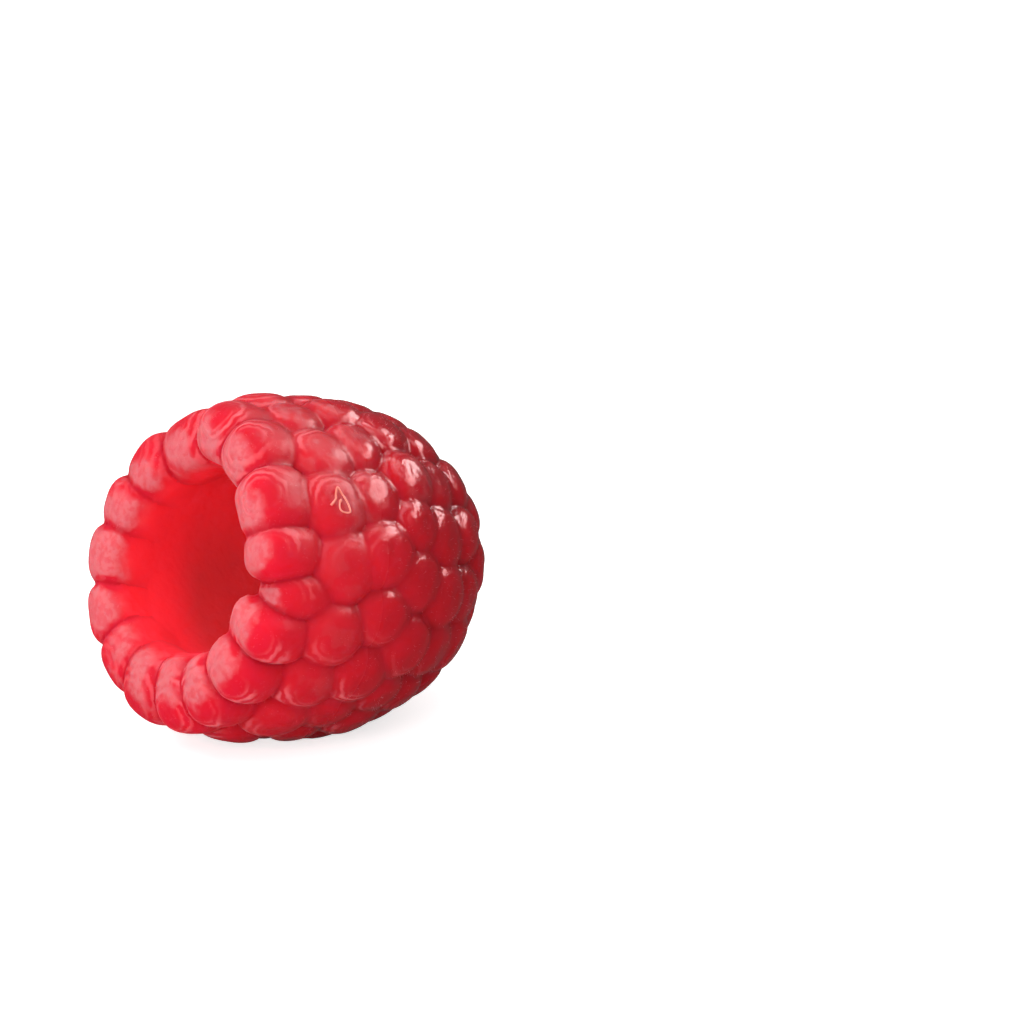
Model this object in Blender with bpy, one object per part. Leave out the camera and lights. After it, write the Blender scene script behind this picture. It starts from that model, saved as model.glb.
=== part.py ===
"""A picked raspberry lying on its side: one hollow body of drupelets, its mouth facing -Y.

The berry is drawn in its own frame first: the mouth's centre at the origin, the tip along +Z, and the
clock angle round the axis counted from the side that ends up on top. lay_down() then turns it on its side.
Sizes are in metres.
"""

import math
import random

import bmesh
import bpy
import numpy as np
from mathutils import Matrix, Vector

MM = 0.001

# The envelope that touches the tops of the drupelets
LENGTH = 21.4 * MM
WIDEST_RADIUS = 10.75 * MM
WIDEST_AT = 0.37  # share of the length, from the mouth
TAPER_POWER = 2.25  # 2 gives an elliptical tip, more a blunter one
MOUTH_TUCK = 0.09  # share by which the envelope draws in at the mouth
BEND = 0.9 * MM  # the tip bends this far to the side that lies on top

# The hollow that the core left
HOLLOW_RADIUS = 6.3 * MM
HOLLOW_DEPTH = 16.6 * MM
HOLLOW_BLUNTNESS = 2.8
HOLLOW_ROUNDING = 0.55

# The wall that the drupelets sit in
WALL_EDGE = 2.8 * MM  # it ends this far inside the mouth
WALL_SUNK = 2.3 * MM  # its outer face lies this deep under the envelope
WALL_SIDES = 28
WALL_STEPS = 9

# The drupelets that fold over the rim, by their clock angles
RIM_CLOCK_DEG = (3, 26, 52, 73, 89, 106, 126, 146, 165, 190, 214, 238, 262, 284, 305, 332)
RIM_RADIUS = 8.1 * MM
RIM_HEIGHT = 2.2 * MM
RIM_THROUGH = 2.05 * MM
RIM_ALONG = 2.2 * MM
RIM_OVERLAP = 0.65
RIM_FLATNESS = 3.0  # where two rim drupelets meet; 2 gives round ones, more gives flatter faces

# The mouth is a little oblique and uneven. Each bump has a clock angle, a half width and a height:
# the dips push the rim towards the tip, the lips stretch it into the mouth, the sinks move it inwards
MOUTH_LEAN = 0.06
MOUTH_SET_BACK = 0.5 * MM
MOUTH_FADE = 8.0 * MM  # over this distance from the mouth
DIPS = ((91, 12, 1.4 * MM), (325, 28, 0.6 * MM), (258, 28, -0.4 * MM), (55, 22, -0.5 * MM))
LIPS = ((109, 13, 0.6 * MM), (170, 32, 1.0 * MM), (240, 14, -0.5 * MM))
SINKS = ((334, 15, 0.45 * MM),)

# The drupelets of the body, row after row
SPACING_AT_MOUTH = 3.9 * MM
SPACING_AT_TIP = 2.9 * MM
ROW_PITCH = 0.85  # share of the spacing between two rows
DRUPELET_SPREAD = 0.62  # half width as a share of the spacing
DOME_HEIGHT = 1.9 * MM
PLUMPNESS = 2.45  # 2 gives round drupelets, more gives fuller ones
ROOT_DEPTH = 1.4 * MM
ROOT_TAPER = 0.9
DRUPELET_SIDES = 9
FIRST_PHASE = 0.5  # where the first row starts from the underside, in drupelets; every other row is half on
SEED = 7

# How it lies: the mouth's centre stands here, which centres the berry on the origin and sinks its
# lowest drupelets 0.35 mm into the ground, where they are cut flat
TILT_DEG = 11.5
MOUTH_CENTRE = (-0.08 * MM, -9.75 * MM, 11.86 * MM)

SHORTEST_EDGE = 0.01 * MM
THINNEST = 0.002 * MM
KEPT_SHARE = 0.7  # of the union's triangles, most of which lie in flat strips along the creases

RED = (0.62, 0.02, 0.035, 1.0)


def clear_scene():
    """Removes whatever the start-up file brought."""
    for item in list(bpy.data.objects):
        bpy.data.objects.remove(item, do_unlink=True)


def around(clock, radius, height):
    """A point in the berry's own frame."""
    return Vector((-radius * math.sin(clock), radius * math.cos(clock), height))


def envelope():
    """The envelope's outline from the mouth to the tip: arc lengths, radii and heights."""
    widest = WIDEST_AT * LENGTH
    heights = np.concatenate([
        np.linspace(0.0, widest, 60, endpoint=False),
        widest + (LENGTH - widest) * np.sin(np.linspace(0.0, math.pi / 2, 160)),
    ])
    back = np.clip((widest - heights) / widest, 0.0, None)
    front = np.clip((heights - widest) / (LENGTH - widest), 0.0, 1.0)
    radii = WIDEST_RADIUS * (1 - MOUTH_TUCK * back**2) * np.sqrt(1 - front**TAPER_POWER)
    arcs = np.concatenate([[0.0], np.cumsum(np.hypot(np.diff(radii), np.diff(heights)))])
    return arcs, radii, heights


def on_envelope(outline, arc):
    """Radius, height and outward direction (radial, axial) of the envelope at an arc length."""
    arcs, radii, heights = outline
    step = 0.2 * MM
    near = np.interp([arc - step, arc, arc + step], arcs, radii)
    far = np.interp([arc - step, arc, arc + step], arcs, heights)
    outward = np.array([far[2] - far[0], near[0] - near[2]])
    outward /= np.hypot(*outward)
    return near[1], far[1], outward


def bumps(clock, table):
    """The sum of smooth bumps round the axis at a clock angle."""
    total = 0.0
    for centre, width, size in table:
        turn = (math.degrees(clock) - centre + 180) % 360 - 180
        total += size * math.exp(-((turn / width) ** 2))
    return total


def mouth_shift(clock, arc):
    """How far the oblique, uneven mouth pushes a place on the envelope towards the tip."""
    lean = MOUTH_LEAN * WIDEST_RADIUS * math.cos(clock)
    return (MOUTH_SET_BACK + lean + bumps(clock, DIPS)) * math.exp(-((arc / MOUTH_FADE) ** 2))


def row_arcs(outline):
    """Arc length, spacing and count of each row of the body, from the row behind the rim to the tip."""
    arcs = outline[0]
    rows = []
    arc = RIM_HEIGHT
    while True:
        spacing = SPACING_AT_MOUTH + (SPACING_AT_TIP - SPACING_AT_MOUTH) * arc / arcs[-1]
        arc += ROW_PITCH * spacing
        radius, _, outward = on_envelope(outline, arc)
        if arcs[-1] - arc < 0.8 * spacing:
            break
        count = round(2 * math.pi * (radius - outward[0] * DOME_HEIGHT / 2) / spacing)
        rows.append((arc, spacing, max(count, 4)))
    return rows


def body_drupelets(outline):
    """Top point, outward direction and half width of every drupelet behind the rim."""
    dice = random.Random(SEED)
    found = []
    for index, (arc, spacing, count) in enumerate(row_arcs(outline)):
        phase = FIRST_PHASE + index % 2 * 0.5
        for place in range(count):
            clock = math.pi + 2 * math.pi * (place + phase + dice.uniform(-0.1, 0.1)) / count
            here = arc + spacing * dice.uniform(-0.09, 0.09)
            radius, height, outward = on_envelope(outline, here)
            shift = mouth_shift(clock, here)
            top = around(clock, radius, height + shift)
            axis = around(clock, outward[0], outward[1])
            rise = dice.uniform(-0.18, 0.12) * MM
            size = DRUPELET_SPREAD * spacing * dice.uniform(0.96, 1.08)
            found.append((top + axis * rise, axis, size))
    found.append((Vector((0.0, 0.0, LENGTH)), Vector((0.0, 0.0, 1.0)), DRUPELET_SPREAD * SPACING_AT_TIP))
    return found


def make_object(name, bm):
    """A linked object from a bmesh."""
    bmesh.ops.recalc_face_normals(bm, faces=bm.faces)
    mesh = bpy.data.meshes.new(name)
    bm.to_mesh(mesh)
    bm.free()
    item = bpy.data.objects.new(name, mesh)
    bpy.context.scene.collection.objects.link(item)
    return item


def turned(name, outline, sides, spot=None):
    """A closed body turned round +Z from (radius, height) pairs whose ends lie on the axis."""
    bm = bmesh.new()
    place = spot or (lambda point: point)
    rings = []
    for radius, height in outline:
        if radius < 1e-9:
            rings.append([bm.verts.new(place(Vector((0.0, 0.0, height))))])
            continue
        clocks = [2 * math.pi * (k + 0.5) / sides for k in range(sides)]
        rings.append([bm.verts.new(place(around(clock, radius, height))) for clock in clocks])
    for lower, upper in zip(rings, rings[1:]):
        for k in range(sides):
            corners = [lower[k % len(lower)], lower[(k + 1) % sides % len(lower)],
                       upper[(k + 1) % sides % len(upper)], upper[k % len(upper)]]
            bm.faces.new(list(dict.fromkeys(corners)))
    bmesh.ops.triangulate(bm, faces=bm.faces)
    return make_object(name, bm)


def hollow_radius(height):
    """The hollow's radius at a height above the mouth."""
    share = min(height / HOLLOW_DEPTH, 1.0)
    return HOLLOW_RADIUS * (1 - share**HOLLOW_BLUNTNESS) ** HOLLOW_ROUNDING


def wall(outline):
    """The thimble that carries the drupelets."""
    arcs = outline[0]
    outer = []
    for arc in np.linspace(WALL_EDGE, arcs[-1], WALL_STEPS + 3):
        radius, height, outward = on_envelope(outline, arc)
        outer.append((radius - outward[0] * WALL_SUNK, height - outward[1] * WALL_SUNK))
    outer[-1] = (0.0, LENGTH - WALL_SUNK)
    shares = np.sin(np.linspace(math.pi / 2, 0.0, WALL_STEPS))
    edge = WALL_EDGE / HOLLOW_DEPTH
    inner = [(hollow_radius(HOLLOW_DEPTH * (edge + (1 - edge) * share)),
              HOLLOW_DEPTH * (edge + (1 - edge) * share)) for share in shares]
    inner[0] = (0.0, HOLLOW_DEPTH)

    def leaning(point):
        clock = math.atan2(-point.x, point.y)
        away = math.hypot(point.x, point.y) / HOLLOW_RADIUS
        return point + Vector((0.0, 0.0, mouth_shift(clock, point.z) * min(away, 1.0)))

    return turned("Wall", inner + outer, WALL_SIDES, leaning)


def facing(axis):
    """A rotation that turns +Z to an axis."""
    return Vector((0.0, 0.0, 1.0)).rotation_difference(axis).to_matrix()


def body_drupelet(name, top, axis, size):
    """One drupelet: a dome on a tapered root that ends inside the wall."""
    outline = [(0.0, 0.0)]
    for share in (0.45, 0.8, 1.0):
        rise = (1 - share**PLUMPNESS) ** (1 / PLUMPNESS)
        outline.append((size * share, DOME_HEIGHT * (rise - 1)))
    outline.append((size * ROOT_TAPER, -DOME_HEIGHT - ROOT_DEPTH))
    outline.append((0.0, -DOME_HEIGHT - ROOT_DEPTH))
    turn = facing(axis)
    return turned(name, outline, DRUPELET_SIDES, lambda point: turn @ point + top)


def rim_drupelet(name, clock, half_gap):
    """One drupelet of the rim: an egg that reaches from the outside into the mouth."""
    reach = bumps(clock, LIPS)
    radius = RIM_RADIUS - reach / 2 - bumps(clock, SINKS)
    centre = around(clock, radius, RIM_HEIGHT + mouth_shift(clock, 0.0))
    spin = Matrix.Rotation(clock, 3, "Z")
    outline = [(math.sin(math.pi * k / 6), -math.cos(math.pi * k / 6)) for k in range(7)]
    outline[0] = (0.0, -1.0)
    outline[-1] = (0.0, 1.0)
    size = Vector((2 * RIM_OVERLAP * half_gap * RIM_RADIUS, RIM_THROUGH + reach / 2, RIM_ALONG))

    def placed(point):
        section = (abs(point.y) ** PLUMPNESS + abs(point.z) ** PLUMPNESS) ** (RIM_FLATNESS / PLUMPNESS)
        fuller = (abs(point.x) ** RIM_FLATNESS + section) ** (1 / RIM_FLATNESS)
        return spin @ (point * size / fuller) + centre

    return turned(name, outline, DRUPELET_SIDES, placed)


def rim_drupelets():
    """The whole rim row."""
    clocks = [math.radians(value) for value in RIM_CLOCK_DEG]
    made = []
    for k, clock in enumerate(clocks):
        gap = (clocks[(k + 1) % len(clocks)] - clocks[k - 1]) % (2 * math.pi)
        made.append(rim_drupelet(f"Rim drupelet {k + 1}", clock, gap / 4))
    return made


def join(base, others):
    """The union of the base and the other objects, which are then removed."""
    group = bpy.data.collections.new("Drupelets")
    bpy.context.scene.collection.children.link(group)
    for item in others:
        bpy.context.scene.collection.objects.unlink(item)
        group.objects.link(item)
        item.hide_render = True
        item.display_type = "WIRE"
    union = base.modifiers.new("Union", "BOOLEAN")
    union.operation = "UNION"
    union.solver = "MANIFOLD"
    union.operand_type = "COLLECTION"
    union.collection = group
    apply_modifiers(base)
    for item in others:
        bpy.data.objects.remove(item, do_unlink=True)
    bpy.data.collections.remove(group)


def fill_pockets(item):
    """Removes the sealed pockets between the roots."""
    bm = bmesh.new()
    bm.from_mesh(item.data)
    left = set(bm.faces)
    shells = []
    while left:
        shell = {left.pop()}
        front = list(shell)
        while front:
            face = front.pop()
            for near in {other for edge in face.edges for other in edge.link_faces} & left:
                left.discard(near)
                shell.add(near)
                front.append(near)
        shells.append(shell)
    shells.sort(key=len)
    pockets = [face for shell in shells[:-1] for face in shell]
    bmesh.ops.delete(bm, geom=pockets, context="FACES")
    bmesh.ops.triangulate(bm, faces=bm.faces)
    bm.to_mesh(item.data)
    bm.free()


def drop_slivers(item):
    """Collapses the edges too short to matter, where that can't pinch the surface, and turns the
    longest edge of any triangle that is left too thin.
    """
    bm = bmesh.new()
    bm.from_mesh(item.data)
    bmesh.ops.triangulate(bm, faces=bm.faces)
    short = [edge for edge in bm.edges if edge.calc_length() < SHORTEST_EDGE]
    while short:
        edge = short.pop()
        if not edge.is_valid or edge.calc_length() >= SHORTEST_EDGE:
            continue
        first, second = edge.verts
        around_first = {near.other_vert(first) for near in first.link_edges}
        around_second = {near.other_vert(second) for near in second.link_edges}
        if len(around_first & around_second) == 2:
            bmesh.ops.pointmerge(bm, verts=[first, second], merge_co=first.co.copy())
    for face in list(bm.faces):
        if face.is_valid:
            longest = max(face.edges, key=lambda edge: edge.calc_length())
            if 2 * face.calc_area() / longest.calc_length() < THINNEST:
                bmesh.utils.edge_rotate(longest, True)
    bm.to_mesh(item.data)
    bm.free()


def thin_out(item):
    """Collapses the edges that add least to the form."""
    fewer = item.modifiers.new("Fewer", "DECIMATE")
    fewer.ratio = KEPT_SHARE
    apply_modifiers(item)


def apply_modifiers(item):
    """Bakes an object's modifiers into its mesh."""
    view = bpy.context.evaluated_depsgraph_get()
    mesh = bpy.data.meshes.new_from_object(item.evaluated_get(view))
    item.modifiers.clear()
    item.data = mesh


def bend(item):
    """Curves the axis towards the side that will lie on top."""
    for vertex in item.data.vertices:
        vertex.co.y += BEND * (vertex.co.z / LENGTH) ** 2


def lay_down(item):
    """Turns the berry on its side, its mouth facing -Y and slightly up, and puts it in its place."""
    tilt = math.radians(TILT_DEG)
    turn = Matrix((
        (-1.0, 0.0, 0.0),
        (0.0, math.sin(tilt), math.cos(tilt)),
        (0.0, math.cos(tilt), -math.sin(tilt)),
    ))
    item.data.transform(Matrix.Translation(MOUTH_CENTRE) @ turn.to_4x4())


def cut_foot(item):
    """Cuts the lowest drupelets flat, so that the berry rests on them."""
    bm = bmesh.new()
    bmesh.ops.create_cube(bm, size=1.0, matrix=Matrix.Diagonal((0.04, 0.04, 0.01, 1.0)))
    bmesh.ops.translate(bm, verts=bm.verts, vec=(0.0, 0.0, -0.005))
    ground = make_object("Ground", bm)
    ground.hide_render = True
    ground.display_type = "WIRE"
    cut = item.modifiers.new("Foot", "BOOLEAN")
    cut.operation = "DIFFERENCE"
    cut.solver = "MANIFOLD"
    cut.object = ground
    apply_modifiers(item)
    bpy.data.objects.remove(ground, do_unlink=True)


def colour(item):
    """Gives the berry its material."""
    paint = bpy.data.materials.new("Raspberry red")
    paint.use_nodes = True
    shader = paint.node_tree.nodes["Principled BSDF"]
    shader.inputs["Base Color"].default_value = RED
    shader.inputs["Roughness"].default_value = 0.45
    item.data.materials.clear()
    item.data.materials.append(paint)


def main():
    clear_scene()
    outline = envelope()
    berry = wall(outline)
    drupelets = rim_drupelets()
    for number, (top, axis, size) in enumerate(body_drupelets(outline), start=1):
        drupelets.append(body_drupelet(f"Drupelet {number}", top, axis, size))
    join(berry, drupelets)
    fill_pockets(berry)
    thin_out(berry)
    bend(berry)
    lay_down(berry)
    cut_foot(berry)
    drop_slivers(berry)
    colour(berry)
    berry.name = "raspberry"
    berry.data.name = "raspberry"


main()
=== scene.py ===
"""Looks of a picked raspberry that lies on its side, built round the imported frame.

The berry is drawn in its own frame first: the mouth's centre at the origin, the tip along +Z, and the
clock angle round the axis counted from the side that ends up on top. Placement then turns it on its side,
its mouth facing -Y. Sizes are in metres.
"""

import logging
import math
import random
from collections.abc import Callable, Sequence
from dataclasses import dataclass
from enum import Enum
from functools import cached_property

import bmesh
import bpy
import numpy as np
from mathutils import Matrix, Vector, noise


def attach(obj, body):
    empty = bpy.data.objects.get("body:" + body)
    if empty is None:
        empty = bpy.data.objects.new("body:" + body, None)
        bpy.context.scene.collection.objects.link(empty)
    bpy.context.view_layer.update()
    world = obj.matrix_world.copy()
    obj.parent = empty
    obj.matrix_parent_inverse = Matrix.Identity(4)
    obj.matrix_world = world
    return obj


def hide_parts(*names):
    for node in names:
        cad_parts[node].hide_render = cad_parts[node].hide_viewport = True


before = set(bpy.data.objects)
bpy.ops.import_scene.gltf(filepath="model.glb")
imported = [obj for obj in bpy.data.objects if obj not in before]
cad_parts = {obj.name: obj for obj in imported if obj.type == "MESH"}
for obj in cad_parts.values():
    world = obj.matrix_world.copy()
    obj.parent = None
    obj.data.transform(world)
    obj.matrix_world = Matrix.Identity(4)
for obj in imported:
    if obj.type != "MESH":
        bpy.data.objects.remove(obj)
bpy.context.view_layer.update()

LOG = logging.getLogger("raspberry")
MM = 0.001
NODE = "raspberry"
BODY = "root"

Colour = tuple[float, float, float]
Way = tuple[float, float, float]
Socket = bpy.types.NodeSocket
Feed = Socket | float | Colour


class Region(Enum):
    """Where on the berry a drupelet grows."""

    RIM = "rim"
    BODY = "body"


class Domain(Enum):
    """What a mesh attribute is stored on."""

    POINT = "POINT"
    CORNER = "CORNER"
    FACE = "FACE"


# The berry's form


@dataclass(frozen=True)
class Bump:
    """A smooth bump round the axis.

    Args:
        clock_deg: The clock angle of its middle.
        half_width_deg: How far from there it has faded.
        height: Its height in metres.
    """

    clock_deg: float
    half_width_deg: float
    height: float

    def at(self, clock: float) -> float:
        """Its height at a clock angle in radians."""
        turn = (math.degrees(clock) - self.clock_deg + 180) % 360 - 180
        return self.height * math.exp(-((turn / self.half_width_deg) ** 2))


def around(clock: float, radius: float, height: float) -> Vector:
    """A point in the berry's own frame, from its clock angle, radius and height."""
    return Vector((-radius * math.sin(clock), radius * math.cos(clock), height))


@dataclass(frozen=True)
class Ramp:
    """A smooth step between two levels.

    Args:
        low: Where it leaves start.
        high: Where it reaches end, which may lie below low.
        start: The level up to low.
        end: The level from high on.
    """

    low: float
    high: float
    start: float = 0.0
    end: float = 1.0

    def over(self, value: np.ndarray) -> np.ndarray:
        """The level at each value."""
        share = np.clip((value - self.low) / (self.high - self.low), 0.0, 1.0)
        return self.start + (self.end - self.start) * (share * share * (3 - 2 * share))


@dataclass(frozen=True)
class Envelope:
    """The turned body that touches the tops of the drupelets."""

    length: float = 21.4 * MM
    widest_radius: float = 10.75 * MM
    widest_at: float = 0.37
    taper_power: float = 2.25
    mouth_tuck: float = 0.09
    mouth_samples: int = 60
    tip_samples: int = 160

    @cached_property
    def outline(self) -> tuple[np.ndarray, np.ndarray, np.ndarray]:
        """The outline that is turned round the axis.

        Returns:
            Arc lengths, radii and heights from the mouth to the tip.
        """
        widest = self.widest_at * self.length
        heights = np.concatenate([
            np.linspace(0.0, widest, self.mouth_samples, endpoint=False),
            widest + (self.length - widest) * np.sin(np.linspace(0.0, math.pi / 2, self.tip_samples)),
        ])
        back = np.clip((widest - heights) / widest, 0.0, None)
        front = np.clip((heights - widest) / (self.length - widest), 0.0, 1.0)
        taper = np.sqrt(1 - front**self.taper_power)
        radii = self.widest_radius * (1 - self.mouth_tuck * back**2) * taper
        arcs = np.concatenate([[0.0], np.cumsum(np.hypot(np.diff(radii), np.diff(heights)))])
        return arcs, radii, heights

    @property
    def reach(self) -> float:
        """The arc length from the mouth to the tip."""
        return float(self.outline[0][-1])

    def at(self, arc: float) -> tuple[float, float, np.ndarray]:
        """The envelope at an arc length.

        Args:
            arc: The arc length from the mouth.

        Returns:
            The radius, the height and the outward direction (radial, axial).
        """
        arcs, radii, heights = self.outline
        step = 0.2 * MM
        places = [arc - step, arc, arc + step]
        near = np.interp(places, arcs, radii)
        far = np.interp(places, arcs, heights)
        outward = np.array([far[2] - far[0], near[0] - near[2]])
        outward /= np.hypot(*outward)
        return float(near[1]), float(far[1]), outward


@dataclass(frozen=True)
class Mouth:
    """The oblique, uneven mouth."""

    radius: float = 10.75 * MM
    lean: float = 0.06
    set_back: float = 0.5 * MM
    fade: float = 8.0 * MM
    dips: tuple[Bump, ...] = (
        Bump(91, 12, 1.4 * MM),
        Bump(325, 28, 0.6 * MM),
        Bump(258, 28, -0.4 * MM),
        Bump(55, 22, -0.5 * MM),
    )
    lips: tuple[Bump, ...] = (
        Bump(109, 13, 0.6 * MM),
        Bump(170, 32, 1.0 * MM),
        Bump(240, 14, -0.5 * MM),
    )
    sinks: tuple[Bump, ...] = (Bump(334, 15, 0.45 * MM),)

    def shift(self, clock: float, arc: float) -> float:
        """How far the mouth pushes a place on the envelope towards the tip.

        Args:
            clock: The clock angle.
            arc: The arc length from the mouth.

        Returns:
            The distance in metres.
        """
        uneven = sum(bump.at(clock) for bump in self.dips)
        full = self.set_back + self.lean * self.radius * math.cos(clock) + uneven
        return full * math.exp(-((arc / self.fade) ** 2))

    def lip(self, clock: float) -> float:
        """How far the rim reaches into the mouth at a clock angle."""
        return sum(bump.at(clock) for bump in self.lips)

    def sink(self, clock: float) -> float:
        """How far the rim lies further in at a clock angle."""
        return sum(bump.at(clock) for bump in self.sinks)


@dataclass(frozen=True)
class Hollow:
    """The hollow that the core left, and the wall round it."""

    radius: float = 6.3 * MM
    depth: float = 16.6 * MM
    bluntness: float = 2.8
    rounding: float = 0.55
    edge: float = 2.8 * MM
    sunk: float = 2.3 * MM
    sides: int = 112
    steps: int = 56
    relief: float = 0.11 * MM
    cells_round: int = 13
    cell_height: float = 2.9 * MM
    waviness: float = 0.7
    wave_pitch: float = 4.0 * MM
    wave_density: float = 1.7

    def radius_at(self, height: float) -> float:
        """The hollow's radius at a height above the mouth."""
        share = min(height / self.depth, 1.0)
        return self.radius * (1 - share**self.bluntness) ** self.rounding

    def swell(self, clock: float, height: float) -> float:
        """How far the inner ends of the drupelets push the lining in at a place.

        Args:
            clock: The clock angle.
            height: The height above the mouth.

        Returns:
            The distance in metres.
        """
        row = height / self.cell_height
        turn = clock * self.cells_round / (2 * math.pi) + 0.5 * (int(row) % 2)
        cell = abs(math.sin(math.pi * turn)) * abs(math.sin(math.pi * row)) ** 0.5
        place = Vector((math.cos(clock), math.sin(clock), height / self.wave_pitch))
        wave = self.waviness * self.relief * noise.noise(place * self.wave_density)
        return self.relief * (cell - 0.5) + wave


@dataclass(frozen=True)
class Drupelet:
    """One drupelet in the berry's own frame.

    Args:
        region: Where it grows.
        centre: The middle of its widest part.
        turn: The rotation from its own axes, +Z being its top on the body and the tip's side on the rim.
        half: Its half sizes along its own axes.
        seed: What its small irregularities are drawn from.
        row: Its row, counted from the rim.
    """

    region: Region
    centre: Vector
    turn: Matrix
    half: tuple[float, float, float]
    seed: int
    row: int

    @property
    def top(self) -> Vector:
        """Its outermost point.

        Returns:
            The point in the berry's own frame.
        """
        if self.region is Region.RIM:
            return self.centre + self.turn @ Vector((0.0, self.half[1], 0.0))
        return self.centre + self.turn @ Vector((0.0, 0.0, self.half[2]))

    @property
    def outward(self) -> Vector:
        """The direction from its middle to its top."""
        return (self.top - self.centre).normalized()


@dataclass(frozen=True)
class DrupeletField:
    """The rim drupelets and the rows of the body."""

    envelope: Envelope
    mouth: Mouth
    rim_clock_deg: tuple[int, ...] = (
        3, 26, 52, 73, 89, 106, 126, 146, 165, 190, 214, 238, 262, 284, 305, 332,
    )
    rim_radius: float = 8.1 * MM
    rim_height: float = 2.2 * MM
    rim_through: float = 2.05 * MM
    rim_along: float = 2.2 * MM
    rim_overlap: float = 0.65
    spacing_at_mouth: float = 3.9 * MM
    spacing_at_tip: float = 2.9 * MM
    row_pitch: float = 0.85
    spread: float = 0.62
    dome_height: float = 1.9 * MM
    closing: float = 0.8
    fewest: int = 4
    first_phase: float = 0.5
    clock_slack: float = 0.1
    arc_slack: float = 0.09
    rise_mm: tuple[float, float] = (-0.18, 0.12)
    size_slack: tuple[float, float] = (0.96, 1.08)
    layout_seed: int = 7
    rim_seed: int = 500

    def rows(self) -> list[tuple[float, float, int]]:
        """The rows of the body, from the rim to the tip.

        Returns:
            Arc length, spacing and count of each row.
        """
        rows = []
        arc = self.rim_height
        while True:
            narrowing = (self.spacing_at_tip - self.spacing_at_mouth) * arc / self.envelope.reach
            spacing = self.spacing_at_mouth + narrowing
            arc += self.row_pitch * spacing
            radius, _, outward = self.envelope.at(arc)
            if self.envelope.reach - arc < self.closing * spacing:
                return rows
            girth = 2 * math.pi * (radius - outward[0] * self.dome_height / 2)
            rows.append((arc, spacing, max(round(girth / spacing), self.fewest)))

    def domed(self, top: Vector, axis: Vector, size: float, row: int, seed: int) -> Drupelet:
        """One drupelet of the body.

        Args:
            top: Its outermost point.
            axis: The outward direction.
            size: Its half width.
            row: Its row.
            seed: What its irregularities are drawn from.

        Returns:
            The drupelet.
        """
        turn = Vector((0.0, 0.0, 1.0)).rotation_difference(axis).to_matrix()
        centre = top - axis.normalized() * self.dome_height
        return Drupelet(Region.BODY, centre, turn, (size, size, self.dome_height), seed, row)

    def body(self) -> list[Drupelet]:
        """The drupelets behind the rim, in the order of the layout's draws.

        Returns:
            The rows' drupelets, and the one at the tip last.
        """
        dice = random.Random(self.layout_seed)
        found = []
        rows = self.rows()
        for index, (arc, spacing, count) in enumerate(rows):
            phase = self.first_phase + index % 2 * 0.5
            for place in range(count):
                slack = dice.uniform(-self.clock_slack, self.clock_slack)
                clock = math.pi + 2 * math.pi * (place + phase + slack) / count
                here = arc + spacing * dice.uniform(-self.arc_slack, self.arc_slack)
                radius, height, outward = self.envelope.at(here)
                top = around(clock, radius, height + self.mouth.shift(clock, here))
                axis = around(clock, float(outward[0]), float(outward[1]))
                rise = dice.uniform(*self.rise_mm) * MM
                size = self.spread * spacing * dice.uniform(*self.size_slack)
                found.append(self.domed(top + axis * rise, axis, size, index + 1, len(found)))
        tip = Vector((0.0, 0.0, self.envelope.length))
        size = self.spread * self.spacing_at_tip
        found.append(self.domed(tip, Vector((0.0, 0.0, 1.0)), size, len(rows) + 1, len(found)))
        return found

    def rim(self) -> list[Drupelet]:
        """The drupelets that fold over the rim.

        Returns:
            The drupelets, clockwise from the top.
        """
        clocks = [math.radians(value) for value in self.rim_clock_deg]
        found = []
        for k, clock in enumerate(clocks):
            gap = (clocks[(k + 1) % len(clocks)] - clocks[k - 1]) % (2 * math.pi)
            lip = self.mouth.lip(clock)
            radius = self.rim_radius - lip / 2 - self.mouth.sink(clock)
            centre = around(clock, radius, self.rim_height + self.mouth.shift(clock, 0.0))
            across = 2 * self.rim_overlap * self.rim_radius * gap / 4
            half = (across, self.rim_through + lip / 2, self.rim_along)
            turn = Matrix.Rotation(clock, 3, "Z")
            found.append(Drupelet(Region.RIM, centre, turn, half, self.rim_seed + k, 0))
        return found

    def all(self) -> list[Drupelet]:
        """Every drupelet, the rim first."""
        return self.rim() + self.body()


@dataclass(frozen=True)
class Placement:
    """How the finished berry is bent and lies on the ground."""

    length: float = 21.4 * MM
    bend: float = 0.9 * MM
    tilt_deg: float = 11.5
    mouth_centre: tuple[float, float, float] = (-0.08 * MM, -9.75 * MM, 11.86 * MM)

    @cached_property
    def turn(self) -> np.ndarray:
        """The rotation that lays the berry down.

        Returns:
            Its matrix.
        """
        tilt = math.radians(self.tilt_deg)
        return np.array([
            [-1.0, 0.0, 0.0],
            [0.0, math.sin(tilt), math.cos(tilt)],
            [0.0, math.cos(tilt), -math.sin(tilt)],
        ])

    def placed(self, points: np.ndarray) -> np.ndarray:
        """Bends the berry and lays it down, flat where it meets the ground.

        Args:
            points: Points of the berry's own frame.

        Returns:
            The same points in the row frame.
        """
        bent = points.copy()
        bent[:, 1] += self.bend * (points[:, 2] / self.length) ** 2
        laid = bent @ self.turn.T + np.array(self.mouth_centre)
        laid[:, 2] = np.maximum(laid[:, 2], 0.0)
        return laid

    def point(self, own: Vector) -> Vector:
        """One point of the berry's own frame, in the row frame."""
        return Vector(self.placed(np.array([own]))[0])

    def direction(self, own: Vector) -> Vector:
        """One direction of the berry's own frame, in the row frame."""
        return Vector(self.turn @ np.array(own)).normalized()


# Meshes


def linked(name: str, mesh: bpy.types.Mesh) -> bpy.types.Object:
    """An object of a mesh, linked to the scene.

    Args:
        name: The object's name.
        mesh: Its mesh.

    Returns:
        The object.
    """
    item = bpy.data.objects.new(name, mesh)
    bpy.context.scene.collection.objects.link(item)
    return item


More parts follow.
